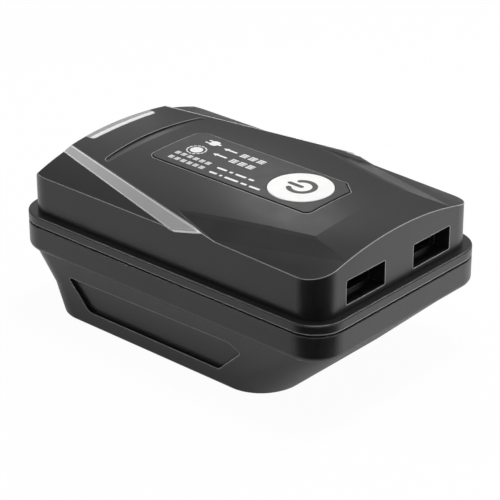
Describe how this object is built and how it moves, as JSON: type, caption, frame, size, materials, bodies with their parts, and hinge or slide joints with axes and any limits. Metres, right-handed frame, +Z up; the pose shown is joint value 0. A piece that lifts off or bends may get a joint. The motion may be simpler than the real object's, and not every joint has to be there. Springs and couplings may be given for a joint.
{
  "type": "battery adapter",
  "caption": "Slide-on tool battery adapter with USB-A outlets at the front, a push button and a rear work light in a two-part dark housing.",
  "frame": {"origin": "bottom centre of the housing's bounding box, on the rails' flat undersides", "axes": "+Z up, +Y towards the light and the end where the pack slides in, -Y towards the USB outlets, +X to the right seen from the USB end"},
  "size_m": [0.067, 0.106, 0.0463],
  "materials": {
    "case_plastic": "near-black satin moulding with a fine spark-eroded texture",
    "trim_silver": "silver-grey painted plastic with a satin sheen",
    "lens_plastic": "milky translucent white, smooth",
    "circuit_board": "green solder mask",
    "led_body": "white package with a yellow phosphor dish",
    "label_film": null,
    "button_plastic": "white, semi-gloss, with a grey power symbol",
    "switch_plastic": "black moulding",
    "usb_steel": "nickel-plated sheet",
    "connector_plastic": "black insulating moulding",
    "contact_gold": "gold-plated",
    "blade_metal": "nickel-plated brass sheet",
    "lead_red": "red lead sleeve",
    "lead_black": "black lead sleeve",
    "capacitor_sleeve": "dark shrink sleeve",
    "inductor_body": "dark ferrite composite",
    "chip_epoxy": "black epoxy",
    "screw_steel": "black-zinc plated steel"
  },
  "bodies": {
    "housing": {"battery_lead_negative": "lead_black", "battery_lead_positive": "lead_red", "blade_negative": "blade_metal", "blade_positive": "blade_metal", "board_screws": "screw_steel", "case_screws": "screw_steel", "converter_chip": "chip_epoxy", "input_capacitor": "capacitor_sleeve", "label_plate": "label_film", "led_board": "circuit_board", "led_leads": "lead_black", "leds": "led_body", "light_lens": "lens_plastic", "lower_housing": "case_plastic", "main_board": "circuit_board", "output_capacitor": "capacitor_sleeve", "power_inductor": "inductor_body", "switch_body": "switch_plastic", "terminal_block": "connector_plastic", "terminal_screws": "screw_steel", "trim_strip_left": "trim_silver", "trim_strip_right": "trim_silver", "upper_cover": "case_plastic", "usb_contacts_left": "contact_gold", "usb_contacts_right": "contact_gold", "usb_shell_left": "usb_steel", "usb_shell_right": "usb_steel", "usb_tongue_left": "connector_plastic", "usb_tongue_right": "connector_plastic"},
    "button": {"power_button": "button_plastic"},
    "plunger": {"switch_plunger": "switch_plastic"}
  },
  "joints": [
    {"name": "button_press", "type": "slide", "parent": "housing", "child": "button", "axis": [0, 0, -1], "range_m": [0, 0.0003], "stiffness_N_per_m": 3000},
    {"name": "plunger_press", "type": "slide", "parent": "housing", "child": "plunger", "axis": [0, 0, -1], "range_m": [0, 0.0003]}
  ],
  "couplings": [
    {"joint": "plunger_press", "follows": "button_press", "ratio": 1}
  ]
}
